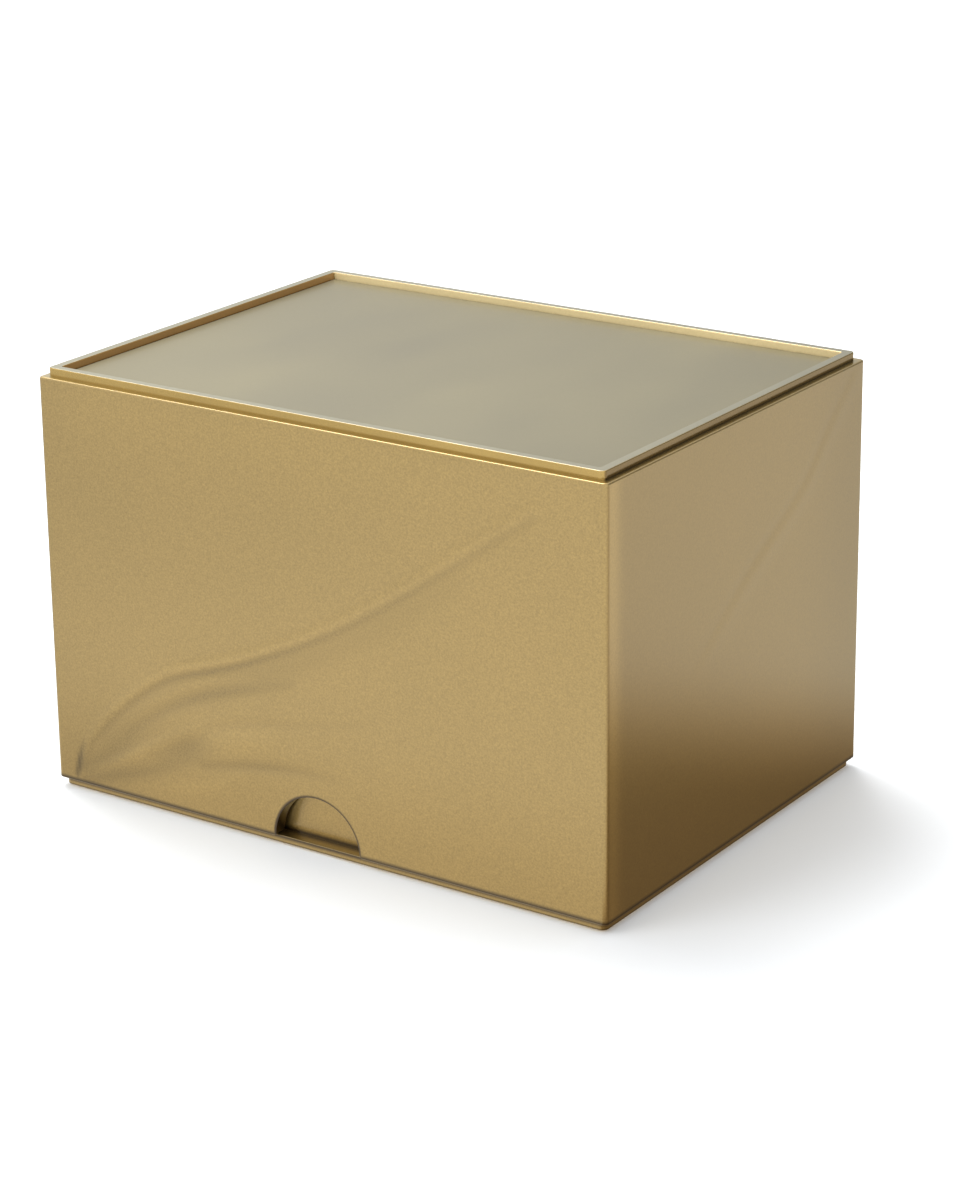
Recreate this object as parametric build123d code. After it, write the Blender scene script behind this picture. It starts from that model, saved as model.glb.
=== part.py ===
from build123d import *
import os

# Wedding card box: a gold cover that lifts straight up off a lined tray on a thin plinth.
# Millimetres. X runs along the long side, -Y is the front, Z is up. The origin is on the
# surface that the box stands on, at the centre of its footprint.

# ---------------------------------------------------------------- cover
cover_length = 300.0
cover_depth = 220.0
cover_height = 193.0            # bottom edge to the ledge round the rim
cover_wall = 6.5
cover_corner_radius = 2.5
cover_top_ease = 0.9
cover_bottom_ease = 0.5

notch_radius = 23.0             # half-round thumb notch in the bottom edge
notch_foot_radius = 1.5

deck_thickness = 5.0            # board that closes the cover, let into a rebate in the walls
deck_rebate = 2.2
joint_gap = 0.1                 # room for glue round a board that drops into a rebate

# ---------------------------------------------------------------- rim and top panel
rim_inset = 3.3                 # ledge left between the cover's outside and the rim
rim_height = 4.0                # above the ledge
rim_width = 4.5
rim_outer_radius = 2.5          # the rebate under the rim has the same corners
rim_inner_radius = 1.0
rim_ease = 0.5

panel_recess = 3.1              # panel face below the top of the rim
panel_thickness = 3.0
panel_gap = 1.0                 # shadow gap between the panel and the rim
panel_corner_radius = 1.0
panel_ease = 0.4

tape_thickness = 0.5            # adhesive strips under the panel
tape_width = 12.0
tape_margin = 8.0

# ---------------------------------------------------------------- plinth and feet
plinth_inset = 2.1
plinth_thickness = 3.7
plinth_corner_radius = 3.5
plinth_ease = 0.5

foot_radius = 9.0
foot_proud = 0.8
foot_recess = 0.7
foot_gap = 0.2
foot_inset = 24.0               # foot centre from the cover's outside faces
foot_ease = 0.3

# ---------------------------------------------------------------- tray
tray_wall = 5.0
tray_rebate = 2.5               # how far a side board is let into the front and back boards
tray_clearance = 0.8            # between the cover's lining and the tray, all round
tray_headroom = 6.0             # tray's top edge below the cover's ceiling lining
tray_ease = 1.2

floor_thickness = 2.5
floor_gap = 0.3

# ---------------------------------------------------------------- felt linings
cover_lining = 1.2
tray_lining = 1.2
floor_felt = 1.5
lining_margin = 3.0             # bare strip left along an open edge

# ---------------------------------------------------------------- countersunk wood screws
screw_radius = 1.45
screw_length = 20.0
screw_tip = 3.0
screw_point_radius = 0.2
screw_head_radius = 2.75
screw_head_height = 1.7
screw_sunk = 0.2                # head below the underside of the plinth
screw_gap = 0.05                # round the shank and the head
pilot_depth = 1.0               # pilot hole beyond the tip of the screw
drive_width = 0.7
drive_length = 2.8
drive_depth = 0.9
long_side_screws = 3
short_side_screws = 2
screw_end_distance = 40.0       # first screw from the outside corner of the tray

# ---------------------------------------------------------------- worked-out levels and sizes
plinth_bottom = foot_proud
plinth_top = plinth_bottom + plinth_thickness
cover_bottom = plinth_top
ledge = cover_bottom + cover_height
rim_top = ledge + rim_height
panel_top = rim_top - panel_recess
panel_bottom = panel_top - panel_thickness
deck_top = panel_bottom - tape_thickness
deck_bottom = deck_top - deck_thickness
ceiling = deck_bottom - cover_lining

deck_inset = cover_wall - deck_rebate + joint_gap
panel_inset = rim_inset + rim_width + panel_gap

tray_inset = cover_wall + cover_lining + tray_clearance
tray_length = cover_length - 2 * tray_inset
tray_depth = cover_depth - 2 * tray_inset
tray_bottom = plinth_top
tray_top = ceiling - tray_headroom
room_length = tray_length - 2 * tray_wall
room_depth = tray_depth - 2 * tray_wall
floor_top = tray_bottom + floor_thickness
felt_top = floor_top + floor_felt

SIDES = {"front": (0, -1), "back": (0, 1), "left": (-1, 0), "right": (1, 0)}
STANDING = (Align.CENTER, Align.CENTER, Align.MIN)
TOLERANCE = 0.01


# ---------------------------------------------------------------- shared shapes
def block(inset, low, high, radius=0.0):
    """Upright block, set in by the same amount from all four outside faces of the cover."""
    x_size = cover_length - 2 * inset
    y_size = cover_depth - 2 * inset
    plan = RectangleRounded(x_size, y_size, radius) if radius else Rectangle(x_size, y_size)
    return Pos(0, 0, low) * extrude(plan, amount=high - low)


def board(x_low, x_high, y_low, y_high, z_low, z_high):
    """Plain box between two corners."""
    size = Box(x_high - x_low, y_high - y_low, z_high - z_low)
    return Pos((x_low + x_high) / 2, (y_low + y_high) / 2, (z_low + z_high) / 2) * size


def mitre_wedge(side):
    """Region that belongs to one side, cut at 45 degrees through the cover's corners."""
    outside = 5.0
    reach = cover_depth / 4
    x_half = cover_length / 2
    y_half = cover_depth / 2
    near = (x_half + outside, y_half + outside)
    far = (x_half - reach, y_half - reach)
    x_sign, y_sign = SIDES[side]
    if y_sign:
        corners = [(-near[0], near[1]), near, far, (-far[0], far[1])]
        plan = Polygon(*[(x, y * y_sign) for x, y in corners], align=None)
    else:
        corners = [(near[0], -near[1]), near, far, (far[0], -far[1])]
        plan = Polygon(*[(x * x_sign, y) for x, y in corners], align=None)
    return Pos(0, 0, -outside) * extrude(plan, amount=rim_top + 2 * outside, dir=(0, 0, 1))


def mitred(ring, prefix):
    """Four boards cut from one ring, named by side."""
    return {f"{prefix}_{side}": ring & mitre_wedge(side) for side in SIDES}


def on_outside(edge):
    """True for an edge that lies on the cover's outside faces or their rounded corners."""
    middle = edge.center()
    x_in = cover_length / 2 - abs(middle.X)
    y_in = cover_depth / 2 - abs(middle.Y)
    return min(x_in, y_in) < cover_corner_radius / 2


# ---------------------------------------------------------------- cover
def notch_cylinder(radius):
    """Cylinder along Y through the front and back walls, centred on the cover's bottom edge."""
    return Pos(0, 0, cover_bottom) * Rot(90, 0, 0) * Cylinder(radius, 2 * cover_depth)


def is_notch_foot(edge):
    """True for an edge where a thumb notch runs out into the cover's bottom edge."""
    middle = edge.center()
    at_bottom = abs(middle.Z - cover_bottom) < TOLERANCE
    return at_bottom and abs(abs(middle.X) - notch_radius) < TOLERANCE


def cover_shell():
    """The four walls as one ring, with the deck's rebate, thumb notches and eased edges."""
    shell = block(0, cover_bottom, ledge, cover_corner_radius)
    shell -= block(cover_wall, cover_bottom, ledge)
    shell -= block(cover_wall - deck_rebate, deck_bottom, ledge, rim_outer_radius)
    shell -= notch_cylinder(notch_radius)
    feet = [edge for edge in shell.edges().filter_by(Axis.Y) if is_notch_foot(edge)]
    shell = fillet(feet, notch_foot_radius)
    outside = [edge for edge in shell.edges() if on_outside(edge)]
    notch_top = cover_bottom + notch_radius + TOLERANCE
    low_edges = [edge for edge in outside if edge.center().Z < notch_top]
    shell = fillet(low_edges, cover_bottom_ease)
    outside = [edge for edge in shell.edges() if on_outside(edge)]
    top_edges = [edge for edge in outside if edge.center().Z > ledge - TOLERANCE]
    return fillet(top_edges, cover_top_ease)


def rim_ring():
    """The raised rim: its foot stands on the deck in the rebate, its lip lies on the ledge."""
    lip = block(rim_inset, ledge, rim_top, rim_outer_radius)
    foot = block(deck_inset, deck_top, ledge, rim_outer_radius)
    ring = lip + foot - block(rim_inset + rim_width, deck_top, rim_top, rim_inner_radius)
    top_edges = ring.faces().sort_by(Axis.Z)[-1].edges()
    return fillet(top_edges, rim_ease)


def top_panel():
    """The flat panel that lies in the rim, with a shadow gap all round."""
    panel = block(panel_inset, panel_bottom, panel_top, panel_corner_radius)
    return fillet(panel.faces().sort_by(Axis.Z)[-1].edges(), panel_ease)


def panel_tape():
    """Four adhesive strips near the edges of the panel, with butted ends."""
    x_out = cover_length / 2 - panel_inset - tape_margin
    y_out = cover_depth / 2 - panel_inset - tape_margin
    x_in = x_out - tape_width
    y_in = y_out - tape_width
    strips = []
    for sign in (-1, 1):
        y_ends = sorted((sign * y_in, sign * y_out))
        strips.append(board(-x_out, x_out, *y_ends, deck_top, panel_bottom))
        x_ends = sorted((sign * x_in, sign * x_out))
        y_stop = y_in - joint_gap
        strips.append(board(*x_ends, -y_stop, y_stop, deck_top, panel_bottom))
    return Compound(children=strips)


def cover_linings():
    """Felt on the inside of the cover: one sheet for each wall and one for the ceiling."""
    x_in = cover_length / 2 - cover_wall
    y_in = cover_depth / 2 - cover_wall
    low = cover_bottom + lining_margin
    notch = notch_cylinder(notch_radius + lining_margin)
    sheets = {"cover_lining_top": board(-x_in, x_in, -y_in, y_in, ceiling, deck_bottom)}
    for side, (x_sign, y_sign) in SIDES.items():
        if y_sign:
            y_ends = sorted((y_sign * y_in, y_sign * (y_in - cover_lining)))
            sheets[f"cover_lining_{side}"] = board(-x_in, x_in, *y_ends, low, ceiling) - notch
        else:
            x_ends = sorted((x_sign * x_in, x_sign * (x_in - cover_lining)))
            y_stop = y_in - cover_lining
            sheets[f"cover_lining_{side}"] = board(*x_ends, -y_stop, y_stop, low, ceiling)
    return sheets


# ---------------------------------------------------------------- base
def spread(count, half_length):
    """Evenly spaced places along a tray wall, the first and last near its ends."""
    end = half_length - screw_end_distance
    return [-end + 2 * end * index / (count - 1) for index in range(count)]


def screw_places():
    """Centres of the screws, under the middle of each tray wall."""
    x_wall = tray_length / 2 - tray_wall / 2
    y_wall = tray_depth / 2 - tray_wall / 2
    places = [(x, y) for x in spread(long_side_screws, tray_length / 2) for y in (-y_wall, y_wall)]
    places += [(x, y) for y in spread(short_side_screws, tray_depth / 2) for x in (-x_wall, x_wall)]
    return places


def screw(gap=0.0, beyond=0.0):
    """Countersunk wood screw, head down at Z = 0; with a gap it is the hole for one."""
    radius = screw_radius + gap
    straight = screw_length - screw_tip + beyond
    head = Cone(screw_head_radius + gap, radius, screw_head_height, align=STANDING)
    shank = Cylinder(radius, straight, align=STANDING)
    tip = Cone(radius, screw_point_radius, screw_tip, align=STANDING)
    return head + shank + Pos(0, 0, straight) * tip


def cross_drive():
    """Cross recess in the underside of a screw head."""
    slot = Box(drive_length, drive_width, 2 * drive_depth)
    return slot + Rot(0, 0, 90) * slot


def at_each(shape, places, level):
    """Copies of a shape at each place in plan, all on one level."""
    return [Pos(x, y, level) * shape for x, y in places]


def foot_places():
    """Centres of the four feet."""
    x_foot = cover_length / 2 - foot_inset
    y_foot = cover_depth / 2 - foot_inset
    return [(x, y) for x in (-x_foot, x_foot) for y in (-y_foot, y_foot)]


def base_plate():
    """The plinth, with recesses for the feet and countersunk holes for the tray screws."""
    plate = block(plinth_inset, plinth_bottom, plinth_top, plinth_corner_radius)
    outline = plate.faces().sort_by(Axis.Z)[0].edges() + plate.faces().sort_by(Axis.Z)[-1].edges()
    plate = fillet(outline, plinth_ease)
    recess = Cylinder(foot_radius + foot_gap, 2 * foot_recess)
    for hole in at_each(recess, foot_places(), plinth_bottom):
        plate -= hole
    mouth = Cylinder(screw_head_radius + screw_gap, 2 * screw_sunk)
    for place in screw_places():
        plate -= Pos(*place, plinth_bottom) * mouth
        plate -= Pos(*place, plinth_bottom + screw_sunk) * screw(screw_gap)
    return plate


def base_feet():
    """Four low round feet, let into the plinth and standing a little proud of it."""
    disc = Cylinder(foot_radius, foot_proud + foot_recess, align=STANDING)
    disc = fillet(disc.faces().sort_by(Axis.Z)[0].edges(), foot_ease)
    return Compound(children=at_each(disc, foot_places(), 0))


def tray_screws():
    """All the screws that hold the tray boards down on the plinth."""
    one = screw() - cross_drive()
    return Compound(children=at_each(one, screw_places(), plinth_bottom + screw_sunk))


def tray_boards():
    """Four boards with rebated corners, cut from one ring with a rounded top edge."""
    ring = block(tray_inset, tray_bottom, tray_top)
    ring -= block(tray_inset + tray_wall, tray_bottom, tray_top)
    ring = fillet(ring.faces().sort_by(Axis.Z)[-1].edges(), tray_ease)
    for place in screw_places():
        ring -= Pos(*place, plinth_bottom + screw_sunk) * screw(screw_gap, pilot_depth)
    x_out = tray_length / 2
    y_out = tray_depth / 2
    x_in = x_out - tray_wall
    y_end = y_out - tray_wall + tray_rebate
    left = board(-x_out, -x_in, -y_end, y_end, tray_bottom, tray_top)
    right = board(x_in, x_out, -y_end, y_end, tray_bottom, tray_top)
    front = board(-x_out, x_out, -y_out, 0, tray_bottom, tray_top) - left - right
    back = board(-x_out, x_out, 0, y_out, tray_bottom, tray_top) - left - right
    cutters = {"front": front, "back": back, "left": left, "right": right}
    return {f"tray_{side}": ring & cutter for side, cutter in cutters.items()}


def floor_board():
    """Loose board that lies on the plinth inside the tray."""
    x_half = room_length / 2 - floor_gap
    y_half = room_depth / 2 - floor_gap
    return board(-x_half, x_half, -y_half, y_half, tray_bottom, floor_top)


def tray_linings():
    """Felt inside the tray: one sheet on the floor board and one on each wall."""
    x_in = room_length / 2
    y_in = room_depth / 2
    high = tray_top - lining_margin
    x_floor = x_in - floor_gap
    y_floor = y_in - floor_gap
    sheets = {"floor_lining": board(-x_floor, x_floor, -y_floor, y_floor, floor_top, felt_top)}
    for side, (x_sign, y_sign) in SIDES.items():
        if y_sign:
            y_ends = sorted((y_sign * y_in, y_sign * (y_in - tray_lining)))
            sheets[f"tray_lining_{side}"] = board(-x_in, x_in, *y_ends, felt_top, high)
        else:
            x_ends = sorted((x_sign * x_in, x_sign * (x_in - tray_lining)))
            y_stop = y_in - tray_lining
            sheets[f"tray_lining_{side}"] = board(*x_ends, -y_stop, y_stop, felt_top, high)
    return sheets


# ---------------------------------------------------------------- one file for each piece
nodes = {
    "base_plate": base_plate(),
    "base_feet": base_feet(),
    "tray_screws": tray_screws(),
    "floor_board": floor_board(),
    "cover_deck": block(deck_inset, deck_bottom, deck_top, rim_outer_radius),
    "top_panel": top_panel(),
    "panel_tape": panel_tape(),
}
nodes.update(tray_boards())
nodes.update(tray_linings())
nodes.update(mitred(cover_shell(), "cover"))
nodes.update(mitred(rim_ring(), "rim"))
nodes.update(cover_linings())

os.makedirs("parts", exist_ok=True)
for name, shape in nodes.items():
    export_step(shape, f"parts/{name}.step")
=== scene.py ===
import math

import bmesh
import bpy
import numpy as np
from mathutils import Matrix, Vector, noise


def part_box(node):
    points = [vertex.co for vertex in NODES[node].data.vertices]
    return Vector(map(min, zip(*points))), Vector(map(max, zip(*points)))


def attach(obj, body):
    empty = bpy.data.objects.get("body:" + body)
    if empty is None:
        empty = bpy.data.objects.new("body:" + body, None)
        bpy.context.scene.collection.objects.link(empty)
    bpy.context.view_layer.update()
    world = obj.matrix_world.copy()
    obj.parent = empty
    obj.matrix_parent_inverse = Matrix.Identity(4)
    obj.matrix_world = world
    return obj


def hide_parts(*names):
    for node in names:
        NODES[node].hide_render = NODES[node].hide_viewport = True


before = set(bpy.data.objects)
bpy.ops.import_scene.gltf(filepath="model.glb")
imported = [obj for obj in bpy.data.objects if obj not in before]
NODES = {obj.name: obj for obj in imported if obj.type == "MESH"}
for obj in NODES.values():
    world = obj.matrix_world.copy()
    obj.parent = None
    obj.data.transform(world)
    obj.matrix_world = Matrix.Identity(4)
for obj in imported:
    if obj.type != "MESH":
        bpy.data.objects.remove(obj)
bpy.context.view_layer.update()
MM = 0.001

# ---------------------------------------------------------------- camera
AZIMUTH = math.radians(34.34)      # from the front, towards the right side
ELEVATION = math.radians(17.59)
ROLL = math.radians(-0.68)
DISTANCE = 1.4682
TARGET = Vector((0.01397, 0.0, 0.14697))
LENS = 97.57
SHIFT_Y = -0.1


def make_camera():
    data = bpy.data.cameras.new("camera")
    data.lens = LENS
    data.shift_y = SHIFT_Y
    camera = bpy.data.objects.new("camera", data)
    bpy.context.collection.objects.link(camera)
    back = Vector(
        (
            math.sin(AZIMUTH) * math.cos(ELEVATION),
            -math.cos(AZIMUTH) * math.cos(ELEVATION),
            math.sin(ELEVATION),
        )
    )
    right = Vector((math.cos(AZIMUTH), math.sin(AZIMUTH), 0))
    up = back.cross(right)
    turn = Matrix((right, up, back)).transposed().to_4x4() @ Matrix.Rotation(ROLL, 4, "Z")
    camera.matrix_world = Matrix.Translation(TARGET + back * DISTANCE) @ turn
    bpy.context.scene.camera = camera


make_camera()

# ---------------------------------------------------------------- node helpers


class Nodes:
    """Short ways to add nodes to one shader node tree. A value may be a number or a socket."""

    def __init__(self, tree):
        self.tree = tree

    def add(self, kind, inputs=(), **settings):
        node = self.tree.nodes.new(kind)
        for name, value in settings.items():
            setattr(node, name, value)
        for name, value in dict(inputs).items():
            self.feed(node.inputs[name], value)
        return node

    def feed(self, socket, value):
        if isinstance(value, bpy.types.NodeSocket):
            self.tree.links.new(value, socket)
        else:
            socket.default_value = value

    def split(self, vector):
        return self.add("ShaderNodeSeparateXYZ", {0: vector}).outputs

    def ramp(self, value, low, high, start=0.0, end=1.0):
        """Value from start..end stretched to low..high."""
        sockets = {0: value, 1: start, 2: end, 3: low, 4: high}
        return self.add("ShaderNodeMapRange", sockets).outputs[0]

    def step(self, value, start, end, low=0.0, high=1.0):
        """Smooth step from low, where the value is start, to high, where it is end."""
        sockets = {0: value, 1: start, 2: end, 3: low, 4: high}
        return self.add("ShaderNodeMapRange", sockets, interpolation_type="SMOOTHSTEP").outputs[0]

    def maths(self, operation, a, b=0.0):
        return self.add("ShaderNodeMath", {0: a, 1: b}, operation=operation).outputs[0]

    def product(self, a, b):
        return self.maths("MULTIPLY", a, b)

    def line(self, value, at, half_width, depth):
        """How much of a line there is: depth where the value is at its place, 0 away from it."""
        away = self.maths("ABSOLUTE", self.maths("SUBTRACT", value, at))
        return self.ramp(away, depth, 0.0, half_width / 3, half_width)

    def mix_numbers(self, factor, a, b):
        """Number a where factor is 0, b where it is 1."""
        return self.add("ShaderNodeMix", {0: factor, 2: a, 3: b}, data_type="FLOAT").outputs[0]

    def mix(self, factor, a, b):
        """Colour a where factor is 0, b where it is 1."""
        node = self.add("ShaderNodeMix", {0: factor}, data_type="RGBA")
        for index, colour in ((6, a), (7, b)):
            is_socket = isinstance(colour, bpy.types.NodeSocket)
            self.feed(node.inputs[index], colour if is_socket else (*colour, 1))
        return node.outputs[2]

    def scale_colour(self, colour, factor):
        """The colour made brighter or darker by a factor."""
        return self.add("ShaderNodeVectorMath", {0: colour, 3: factor}, operation="SCALE").outputs[0]


class Shader(Nodes):
    """A node material under construction, with its Principled shader ready."""

    def __init__(self, name, **sockets):
        self.material = bpy.data.materials.new(name)
        self.material.use_nodes = True
        super().__init__(self.material.node_tree)
        self.surface = self.tree.nodes["Principled BSDF"]
        for socket, value in sockets.items():
            self.surface.inputs[socket.replace("_", " ")].default_value = value
        coordinates = self.add("ShaderNodeTexCoord").outputs
        self.place = coordinates["Object"]
        self.normal = coordinates["Normal"]

    def noise(self, size, detail=2.0, roughness=0.5, stretch=None):
        """Noise in 0 to 1 whose lumps are about size metres across."""
        place = self.place
        if stretch:
            place = self.add("ShaderNodeMapping", {0: place, "Scale": stretch}).outputs[0]
        sockets = {"Vector": place, "Scale": 1 / size, "Detail": detail, "Roughness": roughness}
        return self.add("ShaderNodeTexNoise", sockets).outputs[0]

    def bump(self, height, depth, strength=1.0):
        sockets = {"Height": height, "Distance": depth, "Strength": strength}
        self.link("Normal", self.add("ShaderNodeBump", sockets).outputs[0])

    def link(self, socket, value):
        self.tree.links.new(value, self.surface.inputs[socket])


# ---------------------------------------------------------------- materials
GOLD = (0.375, 0.257, 0.084)
GOLD_DEEP = (0.347, 0.234, 0.076)
LACQUER_EDGE = (0.86, 0.92, 0.80, 1)  # tint of the lacquer at a glancing view
PANEL = (0.20, 0.175, 0.10)
RIM_GOLD = (0.46, 0.31, 0.09)
# painted light on the rails by face direction: shade on right-facing sides, reflection on top faces,
# highlight on the back lip, shade on the left lip
RIM_SIDE_SHADE = (0.25, 0.16, 0.05)
RIM_TOP_REFLECTION = (0.33, 0.29, 0.21)
BACK_LIP_HIGHLIGHT = (0.80, 0.65, 0.35)
LEFT_LIP_SHADE = (0.40, 0.22, 0.07)
# deep brown of the painted shade in the joints
JOINT_SHADE_BROWN = (0.035, 0.018, 0.005)
# vertex attribute that holds the folds' painted shade and highlight
FOLD_PAINTED_LIGHT = "fold_painted_light"
PLINTH_FOOT, PLINTH_TOP = (corner[2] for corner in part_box("base_plate"))
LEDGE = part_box("cover_front")[1][2]
NOTCH_RADIUS = 23 * MM
# strength of the painted shade in the joints
JOINT_SHADE_DEPTH = 0.95
SEAM_WIDTH = 2.4 * MM
FOOT_LINE_WIDTH = 1.2 * MM
NOTCH_LINE_WIDTH = 1.5 * MM
LACQUER_GRAIN = 0.9 * MM


def painted_joint_shade(s, notch):
    """Painted shade: dark lines on the upright faces along the plinth's two edges, and round the notch,
    where shade falls in the joints.
    """
    x, _, z = s.split(s.place)
    upright = s.maths("SUBTRACT", 1.0, s.maths("ABSOLUTE", s.split(s.normal)[2]))
    top_seam = s.line(z, PLINTH_TOP, SEAM_WIDTH, JOINT_SHADE_DEPTH)
    foot_seam = s.line(z, PLINTH_FOOT, FOOT_LINE_WIDTH, JOINT_SHADE_DEPTH)
    joint_shade = s.product(s.maths("MAXIMUM", top_seam, foot_seam), upright)
    if not notch:
        return joint_shade
    rise = s.maths("SUBTRACT", z, PLINTH_TOP)
    radius = s.maths("SQRT", s.maths("ADD", s.product(x, x), s.product(rise, rise)))
    return s.maths("MAXIMUM", joint_shade, s.line(radius, NOTCH_RADIUS, NOTCH_LINE_WIDTH, JOINT_SHADE_DEPTH))


def gold_lacquer(name, relief=False, notch=False):
    """Metallic lacquer: fine flake grain under a clear coat, with soft clouds of tone.

    The flakes show most on the long walls. With relief, the folds' painted shade and highlight are on it
    too."""
    s = Shader(name, Metallic=0.95, Coat_Weight=1.0, Coat_Roughness=0.15, Coat_IOR=1.5)
    s.surface.inputs["Specular Tint"].default_value = LACQUER_EDGE
    grain = s.noise(LACQUER_GRAIN, detail=3, roughness=0.7)
    clouds = s.noise(60 * MM, detail=3)
    flake_depth = s.ramp(s.maths("ABSOLUTE", s.split(s.normal)[1]), 0.13, 0.25)
    flakes = s.maths("ADD", 1.0, s.product(s.ramp(grain, -1.0, 1.0, 0.25, 0.75), flake_depth))
    tone = s.product(flakes, s.ramp(clouds, 0.97, 1.03, 0.3, 0.7))
    if relief:
        # painted shade in the folds' creases and painted highlight on their crests
        fold = s.add("ShaderNodeAttribute", attribute_name=FOLD_PAINTED_LIGHT).outputs["Fac"]
        tone = s.product(tone, s.maths("ADD", fold, 1.0))
    colour = s.mix(s.ramp(clouds, 0.0, 0.35, 0.3, 0.7), GOLD, GOLD_DEEP)
    # painted shade darkens the joints and the notch's rim towards a deep brown
    s.link("Base Color", s.mix(painted_joint_shade(s, notch), s.scale_colour(colour, tone), JOINT_SHADE_BROWN))
    s.link("Roughness", s.ramp(grain, 0.30, 0.38, 0.3, 0.7))
    s.bump(grain, 0.03 * MM, 0.5)
    return s.material


def rim_gold():
    """Polished rails: gold fronts, painted shade on the right-facing sides and on the left rail's inner
    lip, a painted reflection on the paler top faces, and a painted highlight on the back rail's pale
    inner lip.
    """
    s = Shader("rim_gold", Coat_Weight=0.6, Coat_Roughness=0.1, Coat_IOR=1.5)
    s.surface.inputs["Specular Tint"].default_value = LACQUER_EDGE
    x, y, z = s.split(s.place)
    facing_x, facing_y, facing_z = s.split(s.normal)
    is_top = s.ramp(facing_z, 0.0, 1.0, 0.75, 0.95)
    is_side = s.ramp(facing_x, 0.0, 1.0, 0.75, 0.95)
    is_front = s.ramp(facing_y, 0.0, 1.0, -0.75, -0.95)
    is_back_lip = s.product(is_front, s.maths("GREATER_THAN", y, 0.0))
    is_left_lip = s.product(is_side, s.maths("LESS_THAN", x, 0.0))
    clouds = s.noise(40 * MM, detail=3)
    grain = s.noise(LACQUER_GRAIN, detail=3, roughness=0.7)
    tone = s.product(s.ramp(clouds, 0.95, 1.05, 0.3, 0.7), s.ramp(grain, 0.95, 1.05, 0.3, 0.7))
    # painted shade along the rim's foot on its right-facing faces
    joint_shade = s.product(s.line(z, LEDGE, 0.9 * MM, 0.7), is_side)
    # painted light by face direction: shade on right-facing faces and the left lip, reflection on top
    # faces, highlight on the back lip
    colour = s.mix(is_side, RIM_GOLD, RIM_SIDE_SHADE)
    colour = s.mix(is_top, colour, RIM_TOP_REFLECTION)
    colour = s.mix(is_back_lip, colour, BACK_LIP_HIGHLIGHT)
    colour = s.mix(is_left_lip, colour, LEFT_LIP_SHADE)
    s.link("Base Color", s.mix(joint_shade, s.scale_colour(colour, tone), JOINT_SHADE_BROWN))
    # the painted lips are less metallic so that their painted light shows
    s.link("Metallic", s.ramp(s.maths("MAXIMUM", is_back_lip, is_left_lip), 0.95, 0.15))
    polish = s.ramp(grain, 0.16, 0.24, 0.3, 0.7)
    s.link("Roughness", s.maths("ADD", polish, s.product(is_top, 0.14)))
    s.bump(grain, 0.01 * MM, 0.4)
    return s.material


def satin_panel():
    """Champagne sheet with a faint cloudy sheen."""
    s = Shader("satin_panel", Metallic=0.6, Coat_Weight=0.2, Coat_Roughness=0.2, Coat_IOR=1.5)
    clouds = s.noise(70 * MM, detail=2, stretch=(1.0, 0.45, 1.0))
    grain = s.noise(0.7 * MM, detail=2)
    tone = s.product(s.ramp(clouds, 0.95, 1.05, 0.3, 0.7), s.ramp(grain, 0.97, 1.03, 0.3, 0.7))
    s.link("Base Color", s.scale_colour(PANEL, tone))
    s.link("Roughness", s.ramp(clouds, 0.36, 0.46, 0.3, 0.7))
    s.bump(grain, 0.01 * MM, 0.4)
    return s.material


def felt():
    """Short-napped wool felt: matted fibres, fuzzy sheen and a slightly lumpy surface."""
    s = Shader("felt", Roughness=0.95, Sheen_Weight=0.5, Sheen_Roughness=0.5)
    fibres = s.noise(1.2 * MM, detail=6, roughness=0.75, stretch=(1.0, 1.0, 0.35))
    matting = s.noise(9 * MM, detail=4, roughness=0.6)
    colour = s.mix(s.ramp(matting, 0.0, 1.0, 0.3, 0.7), (0.52, 0.43, 0.29), (0.62, 0.53, 0.37))
    s.link("Base Color", s.scale_colour(colour, s.ramp(fibres, 0.8, 1.15, 0.3, 0.7)))
    s.bump(s.maths("ADD", fibres, s.product(matting, 0.6)), 0.35 * MM, 0.8)
    return s.material


def foot_rubber():
    s = Shader("foot_rubber", Metallic=0.0)
    speckle = s.noise(0.6 * MM, detail=4, roughness=0.7)
    s.link("Base Color", s.mix(speckle, (0.012, 0.012, 0.012), (0.035, 0.034, 0.032)))
    s.link("Roughness", s.ramp(speckle, 0.55, 0.8))
    s.bump(speckle, 0.05 * MM, 0.6)
    return s.material


def screw_steel():
    """Yellow zinc plate with turning marks."""
    s = Shader("screw_steel", Metallic=1.0)
    marks = s.noise(0.25 * MM, detail=3)
    stain = s.noise(2.5 * MM, detail=2)
    s.link("Base Color", s.mix(stain, (0.62, 0.50, 0.24), (0.50, 0.46, 0.33)))
    s.link("Roughness", s.ramp(marks, 0.25, 0.42, 0.3, 0.7))
    s.bump(marks, 0.01 * MM, 0.4)
    return s.material


def grey_board():
    s = Shader("grey_board", Metallic=0.0, Roughness=0.9)
    pulp = s.noise(1.5 * MM, detail=6, roughness=0.8)
    s.link("Base Color", s.mix(s.ramp(pulp, 0, 1, 0.35, 0.65), (0.27, 0.26, 0.24), (0.38, 0.37, 0.34)))
    s.bump(pulp, 0.1 * MM, 0.5)
    return s.material


def foam_tape():
    s = Shader("foam_tape", Metallic=0.0, Roughness=0.8)
    cells = s.noise(0.5 * MM, detail=3)
    s.link("Base Color", s.mix(cells, (0.72, 0.72, 0.70), (0.82, 0.82, 0.80)))
    s.bump(cells, 0.05 * MM, 0.5)
    return s.material


LACQUER = gold_lacquer("gold_lacquer")
NOTCHED_LACQUER = gold_lacquer("gold_lacquer_notched", notch=True)
RELIEF_LACQUER = gold_lacquer("gold_lacquer_relief", relief=True, notch=True)
FELT = felt()


def dress(prefix, material):
    """Gives a material to every CAD node whose name starts with the prefix."""
    for name, node in NODES.items():
        if name.startswith(prefix):
            node.data.materials.clear()
            node.data.materials.append(material)


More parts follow.
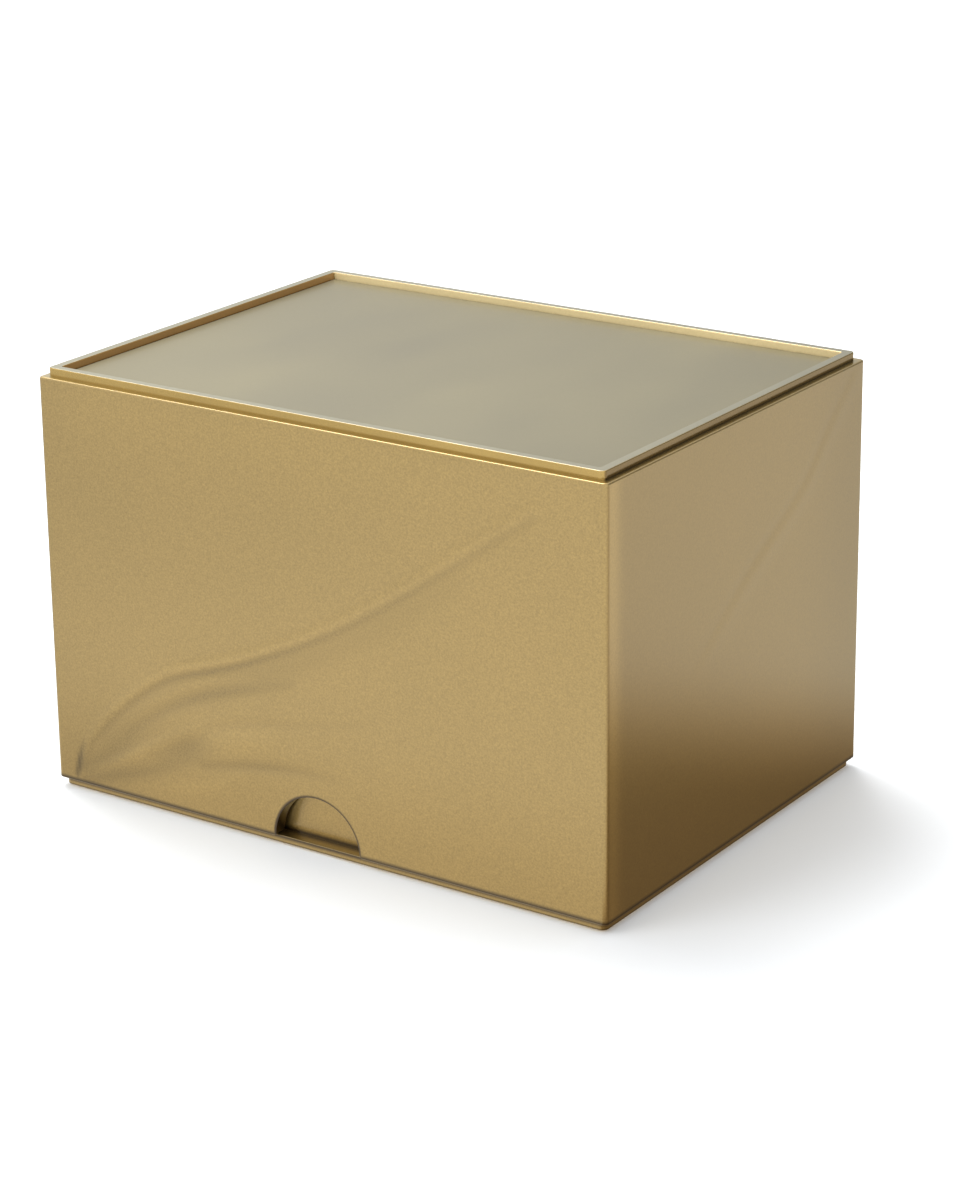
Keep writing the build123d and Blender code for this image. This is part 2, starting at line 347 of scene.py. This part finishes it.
dress("cover_", LACQUER)
dress("cover_back", NOTCHED_LACQUER)
dress("tray_", LACQUER)
dress("base_plate", LACQUER)
dress("rim_", rim_gold())
dress("top_panel", satin_panel())
dress("panel_tape", foam_tape())
dress("base_feet", foot_rubber())
dress("tray_screws", screw_steel())
dress("floor_board", grey_board())

# ---------------------------------------------------------------- gridded faces
SHARP_ANGLE = math.radians(25)


def cut_grid(bm, face, normal_axis, spacing):
    """Cuts one flat face of a mesh into a square grid, and returns its vertices."""
    strips = [face]
    for axis in range(3):
        if axis == normal_axis:
            continue
        coords = [v.co[axis] for f in strips for v in f.verts]
        low, high = min(coords), max(coords)
        count = max(1, round((high - low) / spacing))
        direction = Vector([float(index == axis) for index in range(3)])
        ahead = strips
        finished = []
        for index in range(1, count):
            at = low + (high - low) * index / count
            elements = set(ahead)
            for f in ahead:
                elements.update(f.edges, f.verts)
            cut = bmesh.ops.bisect_plane(
                bm, geom=list(elements), dist=1e-7, plane_co=direction * at, plane_no=direction
            )
            faces = [g for g in cut["geom"] if isinstance(g, bmesh.types.BMFace)]
            finished += [f for f in faces if f.calc_center_median()[axis] < at]
            ahead = [f for f in faces if f.calc_center_median()[axis] > at]
        strips = finished + ahead
    return list({v for f in strips for v in f.verts})


def gridded_copy(node, name, normal_axis, sign, spacing):
    """A CAD board's mesh with one outer face cut into a grid: (bmesh, grid vertices)."""
    bm = bmesh.new()
    bm.from_mesh(NODES[node].data)
    bm.verts.layers.float.new(FOLD_PAINTED_LIGHT)
    bmesh.ops.remove_doubles(bm, verts=bm.verts, dist=1e-6)
    plane = max(v.co[normal_axis] * sign for v in bm.verts) * sign
    flat = [f for f in bm.faces if all(abs(v.co[normal_axis] - plane) < 1e-6 for v in f.verts)]
    region = bmesh.ops.dissolve_faces(bm, faces=flat)["region"]
    verts = cut_grid(bm, region[0], normal_axis, spacing)
    return bm, verts


def finish_piece(bm, name, body, node, material):
    """Turns a bmesh into a shown piece that stands for a CAD node."""
    mesh = bpy.data.meshes.new(name)
    for f in bm.faces:
        f.smooth = True
    for e in bm.edges:
        if len(e.link_faces) == 2 and e.calc_face_angle() > SHARP_ANGLE:
            e.smooth = False
    bm.to_mesh(mesh)
    bm.free()
    stale = mesh.attributes.get("custom_normal")
    if stale:
        mesh.attributes.remove(stale)
    mesh.materials.clear()
    mesh.materials.append(material)
    piece = bpy.data.objects.new(name, mesh)
    bpy.context.collection.objects.link(piece)
    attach(piece, body)
    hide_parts(node)
    return piece


# ---------------------------------------------------------------- folds on the cover
# Soft folds that fan out from the front's lower left corner, with painted shade in their creases and
# hollows, painted highlight on their crests, and broad painted shade and highlight. Each stroke is a
# line of points in millimetres from the lower left corner of the face, then its half width, its height
# outwards, its tone (painted shade below 0, painted highlight above 0), and its strength at the start,
# middle and end.
FRONT_STROKES = [
    # crest of the long fold, its crease, and the soft hollow under it
    ([(12, 8), (19, 27), (43, 50), (68, 68), (92, 74), (137, 93), (181, 118), (224, 149), (262, 176)],
     2.4, 0.58, 0.10, (0.35, 1.0, 0.3)),
    ([(11, 5), (19, 23), (43, 46), (68, 64), (92, 70), (137, 89), (181, 114), (224, 145), (262, 172)],
     1.7, -0.42, -0.32, (0.3, 1.0, 0.4)),
    ([(30, 26), (68, 56), (92, 63), (137, 82), (181, 107), (224, 138)],
     5.5, -0.32, -0.10, (0.6, 1.0, 0.4)),
    # second strand
    ([(44, 38), (63, 53), (78, 61), (97, 68), (114, 72)], 2.2, 0.36, 0.09, (0.3, 1.0, 0.4)),
    ([(40, 30), (62, 46), (86, 58), (109, 65), (136, 74)], 2.4, -0.32, -0.19, (0.4, 1.0, 0.5)),
    # hollow between the second strand and the low ridge
    ([(14, 7), (26, 15), (40, 25), (54, 34), (68, 43)], 4.0, -0.38, -0.15, (1.0, 0.8, 0.0)),
    ([(12, 3), (38, 16), (57, 28), (81, 41), (99, 50)], 2.8, 0.45, 0.09, (0.8, 1.0, 0.2)),
    # pool under the low ridge: its upper line, the swelling in it and its lower line
    ([(62, 25), (74, 31), (86, 34)], 7.0, -0.44, -0.24, (0.5, 1.0, 0.4)),
    ([(86, 43), (108, 50), (131, 53), (169, 61), (200, 73)], 2.0, -0.18, -0.07, (0.8, 0.8, 0.0)),
    ([(90, 36), (106, 41), (128, 44)], 6.0, 0.50, 0.08, (0.7, 1.0, 0.3)),
    ([(84, 24), (105, 29), (138, 34), (168, 34)], 2.4, -0.32, -0.20, (0.7, 1.0, 0.0)),
    # low strands along the bottom edge
    ([(15, 2), (44, 11), (62, 18), (80, 26)], 3.4, -0.28, -0.16, (0.9, 1.0, 0.2)),
    ([(26, 2), (55, 6), (79, 11), (96, 17), (110, 24)], 3.0, 0.26, 0.07, (0.3, 1.0, 0.0)),
    # broad painted light: painted shade at the lower left corner, painted highlight along the top
    ([(0, 0), (25, 8)], 30.0, 0.0, -0.14, (1.0, 1.0, 1.0)),
    ([(30, 188), (270, 188)], 26.0, 0.0, 0.09, (1.0, 1.0, 0.4)),
    # short pleat at the corner, with painted shade in it
    ([(14, 20), (11, 12), (9, 3)], 1.3, -0.30, -0.55, (0.3, 1.0, 0.8)),
]
RIGHT_STROKES = [
    # painted shade towards the back edge, and a painted reflection in a band beside the front edge
    ([(212, 0), (212, 193)], 38.0, 0.0, -0.13, (1.0, 1.0, 1.0)),
    ([(2, 0), (2, 60), (2, 130), (2, 193)], 6.0, 0.0, 0.36, (1.0, 1.0, 1.0)),
    # faint fold, with painted shade in its crease and painted highlight on its crest
    ([(204, 188), (178, 166), (162, 147), (127, 131), (93, 110), (64, 89), (44, 70)],
     3.0, -0.12, -0.035, (0.6, 1.0, 0.0)),
    ([(207, 185), (181, 162), (165, 143), (130, 127), (96, 106), (67, 85), (47, 66)],
     5.0, 0.14, 0.015, (0.6, 1.0, 0.0)),
]
EDGE_FADE = 3.0 * MM
GRID = 1.5 * MM
CURVE_STEPS = 160


def smooth_line(points):
    """Points along a B-spline that starts and ends at the first and last of the given ones."""
    p = np.array(points, float) * MM
    p = np.vstack([2 * p[0] - p[1], p, 2 * p[-1] - p[-2]])
    t = np.linspace(0, len(p) - 3, CURVE_STEPS)
    k = np.minimum(t.astype(int), len(p) - 4)
    f = (t - k)[:, None]
    a, b, c, d = (p[k + i] for i in range(4))
    rise = 3 * f**3 - 6 * f**2 + 4
    fall = -3 * f**3 + 3 * f**2 + 3 * f + 1
    return ((1 - f) ** 3 * a + rise * b + fall * c + f**3 * d) / 6


def lay_strokes(uv, strokes):
    """Height and tone (painted shade and highlight) that the strokes add up to at each point of a face.
    """
    height = np.zeros(len(uv))
    tone = np.zeros(len(uv))
    for points, width, rise, shade, strength in strokes:
        line = smooth_line(points)
        gap = np.linalg.norm(uv[:, None, :] - line[None, :, :], axis=2)
        nearest = gap.argmin(axis=1)
        along = nearest / (CURVE_STEPS - 1)
        amount = np.interp(along, (0, 0.5, 1), strength)
        amount *= np.exp(-((gap.min(axis=1) / (width * MM)) ** 2))
        height += rise * MM * amount
        tone += shade * amount
    return height, tone


def edge_fade(uv, size):
    """0 on the outline of a face, 1 further in."""
    inside = np.minimum.reduce([uv[:, 0], uv[:, 1], size[0] - uv[:, 0], size[1] - uv[:, 1]])
    t = np.clip(inside / EDGE_FADE, 0, 1)
    return t * t * (3 - 2 * t)


def folded_board(node, normal_axis, sign, strokes):
    """A cover wall whose outer face carries the folds and their painted shade and highlight."""
    bm, verts = gridded_copy(node, node, normal_axis, sign, GRID)
    along_axis = 1 - normal_axis
    coords = np.array([v.co for v in verts])
    uv = coords[:, (along_axis, 2)]
    low = uv.min(axis=0)
    size = uv.max(axis=0) - low
    uv = uv - low
    height, tone = lay_strokes(uv, strokes)
    fade = edge_fade(uv, size)
    layer = bm.verts.layers.float[FOLD_PAINTED_LIGHT]
    for vert, rise, shade in zip(verts, height * fade, tone):
        vert.co[normal_axis] += sign * rise
        vert[layer] = shade
    return finish_piece(bm, f"{node}_folds", "cover", node, RELIEF_LACQUER)


folded_board("cover_front", 1, -1, FRONT_STROKES)
folded_board("cover_right", 0, 1, RIGHT_STROKES)

# ---------------------------------------------------------------- felt linings
FELT_GRID = 4.0 * MM
FELT_WAVE = 0.12 * MM
FELT_WAVE_SIZE = 35 * MM


def felt_sheet(node, body, normal_axis, sign):
    """Glued felt: its shown face is slightly lumpy and its edges are cut square."""
    bm, verts = gridded_copy(node, node, normal_axis, sign, FELT_GRID)
    for vert in verts:
        vert.co[normal_axis] += sign * FELT_WAVE * noise.noise(vert.co / FELT_WAVE_SIZE)
    piece = finish_piece(bm, f"{node}_sheet", body, node, FELT)


SIDES = {"front": (1, 1), "back": (1, -1), "left": (0, 1), "right": (0, -1)}
for side, (normal_axis, sign) in SIDES.items():
    felt_sheet(f"tray_lining_{side}", "base", normal_axis, sign)
    felt_sheet(f"cover_lining_{side}", "cover", normal_axis, sign)
felt_sheet("floor_lining", "base", 2, 1)
felt_sheet("cover_lining_top", "cover", 2, -1)

# ---------------------------------------------------------------- studio
FLOOR_HALF = 8.0
MIRROR_HALF = 4.0
MIRROR_HEIGHT = 0.2 * MM
SHADE_ACROSS = (0.418, 0.908)  # direction on the floor across the shade's far edge
SHADE_EDGE = 0.18
WHITE = (1.0, 1.0, 1.0)
FOOT_TINT = (1.0, 0.95, 0.86)
SHADE_TINT = (1.0, 0.72, 0.45)
FAR_TINT = (1.0, 0.965, 0.95)


def stage_plane(s, half, height):
    """A level square that isn't part of the object, with the shader s on it."""
    name = s.material.name
    mesh = bpy.data.meshes.new(name)
    corners = [(-half, -half), (half, -half), (half, half), (-half, half)]
    mesh.from_pydata([(*corner, height) for corner in corners], [], [(0, 1, 2, 3)])
    mesh.materials.append(s.material)
    plane = bpy.data.objects.new(name, mesh)
    bpy.context.collection.objects.link(plane)
    return plane


def make_floor():
    """A pale floor, a little blue against the warm light that the gold throws on it."""
    s = Shader("studio_floor", Metallic=0.0, Roughness=0.7)
    s.link("Base Color", s.mix(s.noise(0.3), (0.87, 0.90, 0.93), (0.89, 0.92, 0.95)))
    stage_plane(s, FLOOR_HALF, 0.0)


def make_reflected_floor():
    """What the box mirrors of the studio floor: white in front, warm deep shade at its right.

    Only glossy rays meet it, so it neither shows nor casts a shadow."""
    s = Shader("reflected_floor", Base_Color=(0, 0, 0, 1), Specular_IOR_Level=0.0, Emission_Strength=1.0)
    x, y, _ = s.split(s.place)
    along = s.maths("ADD", s.product(x, SHADE_ACROSS[0]), s.product(y, SHADE_ACROSS[1]))
    past_shade = s.step(along, SHADE_EDGE - 0.06, SHADE_EDGE + 0.12)
    lit = s.maths("MAXIMUM", past_shade, s.step(x, 0.28, 0.42))
    near_foot = s.step(y, -0.26, -0.10)
    is_right = s.product(s.step(x, 0.145, 0.149), s.step(y, -0.15, -0.10))
    front_level = s.product(s.ramp(s.step(x, -0.50, -0.10), 0.97, 1.2), s.ramp(near_foot, 1.0, 0.82))
    right_level = s.ramp(lit, 0.24, 0.89)
    s.link("Emission Strength", s.mix_numbers(is_right, front_level, right_level))
    front_colour = s.mix(near_foot, WHITE, FOOT_TINT)
    right_colour = s.mix(lit, SHADE_TINT, FAR_TINT)
    s.link("Emission Color", s.mix(is_right, front_colour, right_colour))
    plane = stage_plane(s, MIRROR_HALF, MIRROR_HEIGHT)
    plane.visible_camera = False
    plane.visible_diffuse = False
    plane.visible_transmission = False
    plane.visible_shadow = False


def area_light(name, place, aim, size, power, mirrored=True):
    data = bpy.data.lights.new(name, "AREA")
    data.shape = "RECTANGLE"
    data.size, data.size_y = size
    data.energy = power
    light = bpy.data.objects.new(name, data)
    bpy.context.collection.objects.link(light)
    light.location = place
    light.rotation_mode = "QUATERNION"
    light.rotation_quaternion = (Vector(aim) - Vector(place)).to_track_quat("-Z", "Y")
    light.visible_camera = False
    light.visible_glossy = mirrored


def make_world():
    """White studio, brightest in front and overhead, and darker behind the box to the right.

    The camera itself sees plain white."""
    world = bpy.data.worlds.new("studio")
    world.use_nodes = True
    s = Nodes(world.node_tree)
    x, y, z = s.split(s.add("ShaderNodeTexCoord").outputs["Generated"])
    behind_right = s.step(x, 0.1, 0.4, 0.45, 0.2)
    behind = s.step(x, -0.75, -0.25, 1.0, behind_right)
    around = s.step(y, -0.1, 0.4, 1.3, behind)
    everywhere = s.step(z, 0.35, 0.75, around, 1.15)
    seen = s.add("ShaderNodeLightPath").outputs["Is Camera Ray"]
    background = s.tree.nodes["Background"]
    background.inputs["Color"].default_value = (*WHITE, 1)
    s.feed(background.inputs["Strength"], s.step(seen, 0.0, 1.0, everywhere, 1.0))
    bpy.context.scene.world = world


def make_studio():
    make_floor()
    make_reflected_floor()
    make_world()
    area_light("key", (-0.9, 0.6, 2.0), (0, 0, 0.1), (1.3, 1.3), 38)
    area_light("fill", (-0.8, -1.6, 1.2), (0, -0.3, 0), (1.0, 1.0), 10, mirrored=False)
    bpy.context.scene.view_settings.view_transform = "Standard"
    bpy.context.scene.view_settings.look = "None"


make_studio()
